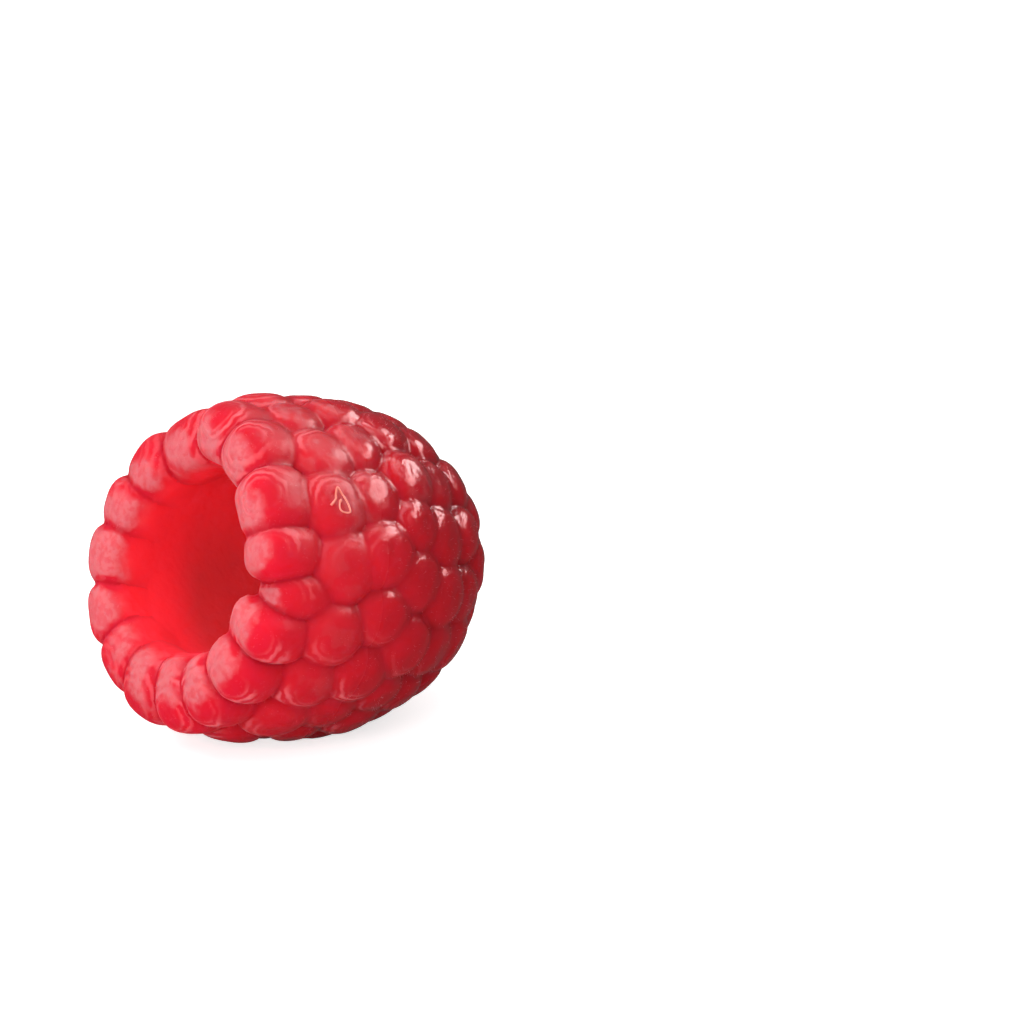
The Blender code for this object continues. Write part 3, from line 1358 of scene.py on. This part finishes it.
@dataclass(frozen=True)
class Mottle:
    """Soft cloudy variation over the skin, and fine grain to go with it."""

    size: float = 2.0 * MM
    grain: float = 0.25 * MM
    detail: float = 2.0
    contrast: Ramp = Ramp(0.3, 0.7)

    def group(self) -> bpy.types.NodeTree:
        """The node group that all finishes share.

        Returns:
            The group, with the inputs Size and Grain size and the outputs Cloud and Grain.
        """
        def wire(wiring: Wiring, given: dict[str, Socket]) -> dict[str, Socket]:
            """Makes the clouds and the grain.

            Args:
                wiring: The group's wiring.
                given: The group's inputs.

            Returns:
                What each output shows.
            """
            place = wiring.node("ShaderNodeTexCoord").outputs["Object"]
            shown = {}
            for label, size in (("Cloud", given["Size"]), ("Grain", given["Grain size"])):
                made = wiring.node("ShaderNodeTexNoise")
                wiring.feed(made.inputs["Vector"], place)
                wiring.feed(made.inputs["Scale"], wiring.calc("DIVIDE", 1.0, size))
                wiring.feed(made.inputs["Detail"], self.detail)
                shown[label] = wiring.ease(made.outputs[0], self.contrast)
            return shown

        return grouped("Skin mottle", {"Size": self.size, "Grain size": self.grain}, ("Cloud", "Grain"), wire)

    def place(self, wiring: Wiring) -> dict[str, Socket]:
        """Places the group in a material with this mottle's own sizes.

        Args:
            wiring: The material's wiring.

        Returns:
            The group's outputs.
        """
        made = wiring.node("ShaderNodeGroup")
        made.node_tree = self.group()
        made.inputs["Size"].default_value = self.size
        made.inputs["Grain size"].default_value = self.grain
        return {"Cloud": made.outputs["Cloud"], "Grain": made.outputs["Grain"]}


def fresh_material(name: str) -> tuple[bpy.types.Material, Wiring, bpy.types.Node]:
    """A new material.

    Args:
        name: Its name.

    Returns:
        The material, the wiring of its nodes and its shader.
    """
    made = bpy.data.materials.new(name)
    made.use_nodes = True
    return made, Wiring(made.node_tree), made.node_tree.nodes["Principled BSDF"]


def preset(shader: bpy.types.Node, values: dict[str, float | Colour]) -> None:
    """Sets what is the same all over a surface on the shader's own sockets.

    Args:
        shader: The shader.
        values: A number or colour for each socket's name.
    """
    for name, value in values.items():
        socket = shader.inputs[name]
        socket.default_value = (*value, 1.0) if socket.type == "RGBA" else value


@dataclass(frozen=True)
class FleshFinish:
    """Translucent red skin, crimson and frosty at the rim, deep red and matt in the hollow, with painted
    light and shade in its colour: painted shade in the rim's creases, partly towards the tip and deep and low
    in the hollow, painted highlights on the pleats and painted sheen in the frosty patches.

    Ramps along the berry are over shares of its length and ramps off a crease over shares of a millimetre.
    The pleats' pitch and their ramp off a drupelet's middle are in millimetres, round that middle.
    """

    rim: Colour = (0.56, 0.010, 0.030)
    body: Colour = (0.58, 0.013, 0.028)
    # Darker crimson towards the tip: partly riper skin, partly painted shade.
    ripe_and_shaded: Colour = (0.37, 0.010, 0.017)
    # Painted shade: darker red for the creases near the rim.
    rim_crease_shade: Colour = (0.42, 0.004, 0.014)
    # Painted highlight: pale pink on the crests of the fine pleats.
    pleat_highlight: Colour = (0.73, 0.160, 0.185)
    # Pale pink of the frosty patches: partly the skin's own frosting, partly painted sheen.
    frost_and_sheen: Colour = (0.54, 0.130, 0.148)
    # The hollow's wall where it is lit, and in painted shade deeper in.
    lining_lit: Colour = (0.79, 0.021, 0.037)
    lining_in_shade: Colour = (0.59, 0.026, 0.035)
    roughness: float = 0.20
    matt_roughness: float = 0.46
    frost_roughness: float = 0.58
    lining_roughness: float = 0.62
    glow_radius: Colour = (1.0, 0.14, 0.10)
    glow_scale: float = 2.6 * MM
    glow: float = 1.0
    gloss: float = 0.4
    gloss_colour: Colour = (1.0, 0.45, 0.45)
    sheen: float = 0.01
    sheen_colour: Colour = (1.0, 0.62, 0.66)
    sheen_roughness: float = 0.45
    mottle: Mottle = Mottle(size=1.7 * MM, grain=0.42 * MM)
    dents: Mottle = Mottle(size=0.75 * MM, grain=0.28 * MM)
    relief: float = 0.05 * MM
    relief_strength: float = 0.7
    grain_depth: float = 0.18
    dent_depth: float = 0.45
    past_rim: Ramp = Ramp(0.05, 0.18)
    # How far along the berry the darker crimson, partly ripeness and partly painted shade, has come in.
    ripening_and_shade: Ramp = Ramp(0.15, 0.75, 0.0, 0.85)
    ripe_drupelets: float = 0.22
    ripe_clouds: float = 0.18
    # Painted shade in the creases near the rim: how much, off a crease and along the berry.
    creases: Ramp = Ramp(0.0, 0.24, 0.55, 0.0)
    crease_shade_along: Ramp = Ramp(0.10, 0.32, 1.0, 0.0)
    matt_along: tuple[float, float] = (0.20, 0.50)
    # Painted shade in the hollow: it darkens lower down and deeper in.
    lining_low_shade: Ramp = Ramp(15.0 * MM, 6.5 * MM)
    lining_deep_shade: Ramp = Ramp(0.22, 0.42)
    lining_shade: float = 0.25
    pleat_pitch_mm: float = 0.50
    pleat_depth: float = 1.3
    pleat_clouds: float = 0.34
    pleat_grain: float = 0.06
    pleat_crest: Ramp = Ramp(-0.8, 1.0, 0.02, 1.0)
    pleats_off_crease: Ramp = Ramp(0.04, 0.18)
    pleats_off_middle: Ramp = Ramp(0.8, 1.4)
    pleats_fading: Ramp = Ramp(0.25, 0.85, 1.0, 0.55)
    # How far the painted pleat highlight fades towards the tip.
    pleat_highlight_along: Ramp = Ramp(0.35, 0.65, 0.84, 0.2)
    frost_off_crease: Ramp = Ramp(0.08, 0.60)
    frost_clouds: Ramp = Ramp(0.0, 1.0, -0.38, 0.26)
    frost_edge: Ramp = Ramp(0.02, 0.85)
    frost_grain: Ramp = Ramp(0.0, 1.0, 0.60, 1.0)
    frost_start: Ramp = Ramp(0.0, 0.15)

    def pleats(self, wiring: Wiring, mottle: dict[str, Socket]) -> Socket:
        """Fine pleats round a drupelet, where the skin is marked for them.

        Args:
            wiring: The material's wiring.
            mottle: The outputs of the mottle group.

        Returns:
            Their height, from 0 to 1.
        """
        ring = wiring.attribute("ring")
        cloud, grain = mottle["Cloud"], mottle["Grain"]
        warped = wiring.heaped(ring, (cloud, self.pleat_clouds), (grain, self.pleat_grain))
        wave = wiring.calc("SINE", wiring.product(warped, 2 * math.pi / self.pleat_pitch_mm))
        return wiring.product(
            wiring.ease(wave, self.pleat_crest),
            wiring.ease(wiring.attribute("gap"), self.pleats_off_crease),
            wiring.ease(ring, self.pleats_off_middle),
            wiring.ease(cloud, self.pleats_fading),
            wiring.attribute("pleated"),
        )

    def skin(self, wiring: Wiring, mottle: dict[str, Socket]) -> Socket:
        """The colour of the skin, without the lining.

        Args:
            wiring: The material's wiring.
            mottle: The outputs of the mottle group.

        Returns:
            The colour.
        """
        along = wiring.attribute("along")
        # Darker towards the tip, partly as riper skin and partly as painted shade; each drupelet and the
        # clouds vary it at random.
        ripeness_and_shade = wiring.heaped(
            wiring.ease(along, self.ripening_and_shade),
            (wiring.attribute("tone"), self.ripe_drupelets), (mottle["Cloud"], self.ripe_clouds),
        )
        front = wiring.blend(wiring.ease(along, self.past_rim), self.rim, self.body)
        skin = wiring.blend(ripeness_and_shade, front, self.ripe_and_shaded)
        # Painted shade: the creases near the rim are darkened.
        crease = wiring.ease(wiring.attribute("gap"), self.creases)
        crease = wiring.product(crease, wiring.ease(along, self.crease_shade_along))
        skin = wiring.blend(crease, skin, self.rim_crease_shade)
        # Painted highlight: the pleats' crests are painted pale, less towards the tip.
        pleats = wiring.product(self.pleats(wiring, mottle), wiring.ease(along, self.pleat_highlight_along))
        skin = wiring.blend(pleats, skin, self.pleat_highlight)
        # The frosty patches on top: partly pale skin, partly painted sheen.
        return wiring.blend(self.frost_and_sheen_cover(wiring, mottle), skin, self.frost_and_sheen)

    def colour(self, wiring: Wiring, mottle: dict[str, Socket]) -> Socket:
        """The colour of the skin and the lining.

        Args:
            wiring: The material's wiring.
            mottle: The outputs of the mottle group.

        Returns:
            The colour.
        """
        # Painted shade: the lining darkens deeper in the hollow, and more so lower down.
        parts = wiring.node("ShaderNodeSeparateXYZ")
        wiring.feed(parts.inputs[0], wiring.node("ShaderNodeTexCoord").outputs["Object"])
        low = wiring.ease(parts.outputs["Z"], self.lining_low_shade)
        deep = wiring.ease(wiring.attribute("depth"), self.lining_deep_shade)
        shade = wiring.product(wiring.calc("ADD", low, self.lining_shade), deep)
        lining = wiring.blend(shade, self.lining_lit, self.lining_in_shade)
        return wiring.blend(wiring.attribute("lining"), self.skin(wiring, mottle), lining)

    def frost_and_sheen_cover(self, wiring: Wiring, mottle: dict[str, Socket]) -> Socket:
        """How much the frosty patches cover the skin: partly its own pale frosting, partly painted sheen.

        Args:
            wiring: The material's wiring.
            mottle: The outputs of the mottle group.

        Returns:
            The cover, from 0 to 1.
        """
        bloom_and_sheen = wiring.attribute("bloom_and_sheen")
        cover = wiring.product(bloom_and_sheen, wiring.ease(wiring.attribute("gap"), self.frost_off_crease))
        cover = wiring.calc("ADD", cover, wiring.ease(mottle["Cloud"], self.frost_clouds))
        fine = wiring.ease(mottle["Grain"], self.frost_grain)
        cover = wiring.product(wiring.ease(cover, self.frost_edge), fine)
        return wiring.calc("MINIMUM", cover, wiring.ease(bloom_and_sheen, self.frost_start))

    def rough(self, wiring: Wiring, mottle: dict[str, Socket]) -> Socket:
        """The roughness: matt at the rim, in the frosty patches and in the hollow, glossy behind.

        Args:
            wiring: The material's wiring.
            mottle: The outputs of the mottle group.

        Returns:
            The roughness.
        """
        matt = Ramp(*self.matt_along, self.matt_roughness, self.roughness)
        frost_and_sheen = wiring.product(self.frost_and_sheen_cover(wiring, mottle), self.frost_roughness)
        skin = wiring.calc("MAXIMUM", wiring.ease(wiring.attribute("along"), matt), frost_and_sheen)
        lining = Ramp(0.0, 1.0, 0.0, self.lining_roughness - self.roughness)
        return wiring.calc("ADD", skin, wiring.ease(wiring.attribute("lining"), lining))

    def relieved(self, wiring: Wiring, mottle: dict[str, Socket]) -> Socket:
        """The small unevenness of the skin.

        Args:
            wiring: The material's wiring.
            mottle: The outputs of the mottle group.

        Returns:
            The normal.
        """
        bump = wiring.node("ShaderNodeBump")
        bump.inputs["Strength"].default_value = self.relief_strength
        bump.inputs["Distance"].default_value = self.relief
        height = wiring.heaped(
            mottle["Cloud"],
            (mottle["Grain"], self.grain_depth),
            (self.dents.place(wiring)["Cloud"], self.dent_depth),
            (self.pleats(wiring, mottle), self.pleat_depth),
        )
        wiring.feed(bump.inputs["Height"], height)
        return bump.outputs["Normal"]

    def material(self) -> bpy.types.Material:
        """Makes the finish.

        Returns:
            The material.
        """
        made, wiring, shader = fresh_material("Raspberry flesh")
        mottle = self.mottle.place(wiring)
        wiring.feed(shader.inputs["Base Color"], self.colour(wiring, mottle))
        wiring.feed(shader.inputs["Roughness"], self.rough(wiring, mottle))
        wiring.feed(shader.inputs["Normal"], self.relieved(wiring, mottle))
        preset(shader, {
            "Subsurface Weight": self.glow,
            "Subsurface Radius": self.glow_radius,
            "Subsurface Scale": self.glow_scale,
            "Specular IOR Level": self.gloss,
            "Specular Tint": self.gloss_colour,
            "Sheen Weight": self.sheen,
            "Sheen Roughness": self.sheen_roughness,
            "Sheen Tint": self.sheen_colour,
        })
        return made


@dataclass(frozen=True)
class ThreadFinish:
    """Dry, pale, slightly browned threads."""

    pale: Colour = (0.84, 0.23, 0.19)
    brown: Colour = (0.64, 0.12, 0.08)
    roughness: tuple[float, float] = (0.4, 0.6)
    mottle: Mottle = Mottle(size=0.7 * MM, grain=0.08 * MM)

    def material(self) -> bpy.types.Material:
        """Makes the finish.

        Returns:
            The material.
        """
        made, wiring, shader = fresh_material("Dry style")
        mottle = self.mottle.place(wiring)
        wiring.feed(shader.inputs["Base Color"], wiring.blend(mottle["Cloud"], self.pale, self.brown))
        wiring.feed(shader.inputs["Roughness"], wiring.ease(mottle["Grain"], Ramp(0.0, 1.0, *self.roughness)))
        return made


@dataclass(frozen=True)
class DownFinish:
    """Fine, pale, slightly reddish down."""

    pale: Colour = (0.80, 0.26, 0.29)
    warm: Colour = (0.74, 0.12, 0.14)
    roughness: float = 0.6
    mottle: Mottle = Mottle(size=3.0 * MM, grain=0.3 * MM)

    def material(self) -> bpy.types.Material:
        """Makes the finish.

        Returns:
            The material.
        """
        made, wiring, shader = fresh_material("Fine down")
        cloud = self.mottle.place(wiring)["Cloud"]
        wiring.feed(shader.inputs["Base Color"], wiring.blend(cloud, self.pale, self.warm))
        preset(shader, {"Roughness": self.roughness})
        return made


@dataclass(frozen=True)
class FloorFinish:
    """Plain white board."""

    colour: Colour = (0.80, 0.80, 0.80)
    roughness: float = 0.9
    lift: float = 0.72
    lift_colour: Colour = (1.0, 1.0, 1.0)

    def material(self) -> bpy.types.Material:
        """Makes the finish, which is lifted to white where the camera sees it.

        Returns:
            The material.
        """
        made, wiring, shader = fresh_material("White board")
        preset(shader, {
            "Base Color": self.colour,
            "Roughness": self.roughness,
            "Specular IOR Level": 0.0,
            "Emission Color": self.lift_colour,
        })
        seen = wiring.node("ShaderNodeLightPath").outputs["Is Camera Ray"]
        wiring.feed(shader.inputs["Emission Strength"], wiring.product(seen, self.lift))
        return made


# The studio


MIDDLE_HEIGHT = 10.6 * MM


def towards(azimuth_deg: float, elevation_deg: float) -> Vector:
    """The direction to a place seen from the berry.

    Args:
        azimuth_deg: Its azimuth, where 0 is -Y and 90 is +X.
        elevation_deg: Its height over the horizon.

    Returns:
        The direction.
    """
    azimuth, elevation = math.radians(azimuth_deg), math.radians(elevation_deg)
    flat = math.cos(elevation)
    return Vector((math.sin(azimuth) * flat, -math.cos(azimuth) * flat, math.sin(elevation)))


@dataclass(frozen=True)
class Viewpoint:
    """The camera, set so that the berry lies where it does in the photograph's frame."""

    azimuth_deg: float = 53.3
    elevation_deg: float = 14.3
    distance: float = 0.26
    pixel: float = 0.0614 * MM
    middle_px: tuple[float, float] = (303.6, 560.0)
    frame_px: int = 1024
    sensor_mm: float = 36.0
    near: float = 5.0 * MM

    def build(self) -> bpy.types.Object:
        """Makes the camera and looks through it.

        Returns:
            The camera.
        """
        back = towards(self.azimuth_deg, self.elevation_deg)
        azimuth = math.radians(self.azimuth_deg)
        right = Vector((math.cos(azimuth), math.sin(azimuth), 0.0))
        up = back.cross(right)
        half = self.frame_px / 2
        target = Vector((0.0, 0.0, MIDDLE_HEIGHT))
        target += right * (half - self.middle_px[0]) * self.pixel
        target += up * (self.middle_px[1] - half) * self.pixel
        data = bpy.data.cameras.new("Camera")
        data.sensor_width = self.sensor_mm
        data.lens = self.sensor_mm * self.distance / (self.frame_px * self.pixel)
        data.clip_start = self.near
        item = bpy.data.objects.new("Camera", data)
        turn = Matrix((right, up, back)).transposed().to_4x4()
        item.matrix_world = Matrix.Translation(target + back * self.distance) @ turn
        bpy.context.scene.collection.objects.link(item)
        bpy.context.scene.camera = item
        return item


@dataclass(frozen=True)
class Softbox:
    """A soft light that looks at the berry.

    Args:
        name: Its name.
        azimuth_deg: Where it stands, seen from the berry.
        elevation_deg: How high it stands.
        distance: How far away it is.
        width: Its width.
        height: Its height.
        power: Its power in watts.
        lit: Whether it lights the skin.
        mirrored: Whether the skin's gloss shows it.
    """

    name: str
    azimuth_deg: float
    elevation_deg: float
    distance: float
    width: float
    height: float
    power: float
    lit: bool = True
    mirrored: bool = True

    def build(self) -> bpy.types.Object:
        """Makes the light.

        Returns:
            The light.
        """
        data = bpy.data.lights.new(self.name, "AREA")
        data.shape = "RECTANGLE"
        data.size = self.width
        data.size_y = self.height
        data.energy = self.power
        item = bpy.data.objects.new(self.name, data)
        item.visible_diffuse = self.lit
        item.visible_glossy = self.mirrored
        back = towards(self.azimuth_deg, self.elevation_deg)
        item.location = back * self.distance + Vector((0.0, 0.0, MIDDLE_HEIGHT))
        item.rotation_euler = back.to_track_quat("Z", "Y").to_euler()
        bpy.context.scene.collection.objects.link(item)
        return item


@dataclass(frozen=True)
class Surround:
    """Light from all round that is brighter on one side.

    Args:
        azimuth_deg: Where the bright side is.
        elevation_deg: How high the bright side is.
        dim: The light from the other side.
        bright: The light from the bright side.
        dim_from: Where the light starts to rise, as the cosine of the angle to the bright side.
    """

    azimuth_deg: float
    elevation_deg: float
    dim: float
    bright: float
    dim_from: float = -0.8

    def level(self, wiring: Wiring, way: Socket) -> Socket:
        """How bright each direction is.

        Args:
            wiring: The world's wiring.
            way: The direction.

        Returns:
            The brightness.
        """
        dot = wiring.node("ShaderNodeVectorMath", operation="DOT_PRODUCT")
        wiring.feed(dot.inputs[0], way)
        dot.inputs[1].default_value = towards(self.azimuth_deg, self.elevation_deg)
        return wiring.ease(dot.outputs["Value"], Ramp(self.dim_from, 1.0, self.dim, self.bright))


@dataclass
class Studio:
    """The white board, the soft lights, the surroundings and the camera."""

    viewpoint: Viewpoint
    floor_drop: float = 0.02 * MM
    floor_size: float = 6.0
    shone: Surround = Surround(-25.0, 40.0, dim=0.10, bright=0.55)
    mirrored: Surround = Surround(200.0, 10.0, dim=0.01, bright=0.10)
    boxes: tuple[Softbox, ...] = (
        Softbox("Key light", -22.0, 58.0, 0.60, 0.50, 0.50, 3.0, mirrored=False),
        Softbox("Fill light", 38.0, 14.0, 0.60, 0.34, 0.34, 2.40, mirrored=False),
        Softbox("Side light", 88.0, 48.0, 0.60, 0.40, 0.40, 0.75, mirrored=False),
        Softbox("Back light", 166.0, 38.0, 0.50, 0.42, 0.12, 2.3, lit=False),
        Softbox("Top light", 195.0, 64.0, 0.50, 0.44, 0.12, 0.8, lit=False),
    )

    def floor(self) -> bpy.types.Object:
        """Makes the floor.

        Returns:
            The floor.
        """
        half = self.floor_size / 2
        corners = [(-half, -half), (half, -half), (half, half), (-half, half)]
        mesh = bpy.data.meshes.new("Floor")
        mesh.from_pydata([(x, y, -self.floor_drop) for x, y in corners], [], [(0, 1, 2, 3)])
        item = linked("Floor", mesh)
        mesh.materials.append(FloorFinish().material())
        item.visible_glossy = False
        return item

    def surroundings(self) -> None:
        """Lights the scene from all round, and gives the gloss surroundings of its own."""
        world = bpy.data.worlds.new("Surroundings")
        world.use_nodes = True
        bpy.context.scene.world = world
        wiring = Wiring(world.node_tree)
        sky = world.node_tree.nodes["Background"]
        way = wiring.node("ShaderNodeTexCoord").outputs["Generated"]
        ray = wiring.node("ShaderNodeLightPath")
        strength = wiring.mix(Wiring.NUMBER_MIX, ray.outputs["Is Glossy Ray"],
                              self.shone.level(wiring, way), self.mirrored.level(wiring, way))
        strength = wiring.calc("MAXIMUM", strength, ray.outputs["Is Camera Ray"])
        wiring.feed(sky.inputs["Strength"], strength)
        sky.inputs["Color"].default_value = (1.0, 1.0, 1.0, 1.0)

    def build(self) -> None:
        """Makes everything that isn't part of the berry."""
        self.viewpoint.build()
        self.floor()
        self.surroundings()
        for box in self.boxes:
            box.build()
        bpy.context.scene.view_settings.view_transform = "Standard"


# The whole


LOOP = (
    (-0.74, -0.20, -0.10), (-0.40, 0.06, 0.10), (-0.30, 0.34, 0.14), (0.00, 0.74, 0.12), (0.10, 0.38, 0.14),
    (0.22, 0.04, 0.12), (0.30, -0.48, 0.14), (0.20, -0.92, 0.16), (-0.26, -0.84, 0.18), (-0.44, -0.62, 0.22),
    (-0.34, -0.30, 0.24), (-0.14, -0.06, 0.24),
)
HOOK = ((0.0, 0.0, -0.12), (0.22, 0.28, 0.20), (0.62, 0.50, 0.38), (1.06, 0.36, 0.34), (1.22, -0.02, 0.24))
WAVE = ((0.0, 0.0, -0.12), (0.18, 0.36, 0.26), (-0.04, 0.80, 0.42), (0.24, 1.22, 0.44), (0.12, 1.62, 0.32))
CURL = (
    (0.0, 0.0, -0.12), (0.30, 0.16, 0.22), (0.74, 0.24, 0.30), (0.96, -0.12, 0.28), (0.66, -0.38, 0.26),
    (0.42, -0.12, 0.30),
)
THREADS = (
    Style(26, LOOP),
    Style(34, HOOK, 20.0), Style(38, WAVE, 310.0), Style(53, CURL, 120.0), Style(71, HOOK, 250.0),
    Style(85, WAVE, 80.0), Style(98, HOOK, 10.0), Style(107, CURL, 220.0), Style(110, WAVE, 170.0),
    Style(115, CURL, 0.0),
)


def report(piece: bpy.types.Object) -> None:
    """Logs a piece's name and size."""
    LOG.info("%s: %d faces", piece.name, len(piece.data.polygons))


def main() -> None:
    """Builds the berry, dresses it and sets up the studio."""
    logging.basicConfig(level=logging.INFO, format="%(name)s: %(message)s")
    envelope = Envelope()
    mouth = Mouth()
    drupelets = DrupeletField(envelope, mouth).all()
    placement = Placement()
    flesh = Flesh(envelope, mouth, Hollow(), drupelets, DrupeletShape(), placement)
    skin = flesh.build()
    flesh.dress(skin, FleshFinish())
    report(skin)
    styles = Styles(drupelets, placement, THREADS)
    threads = styles.build()
    styles.dress(threads, ThreadFinish())
    report(threads)
    down = Down(skin)
    hairs = down.build()
    down.dress(hairs, DownFinish())
    report(hairs)
    Studio(Viewpoint()).build()


if __name__ == "__main__":
    main()
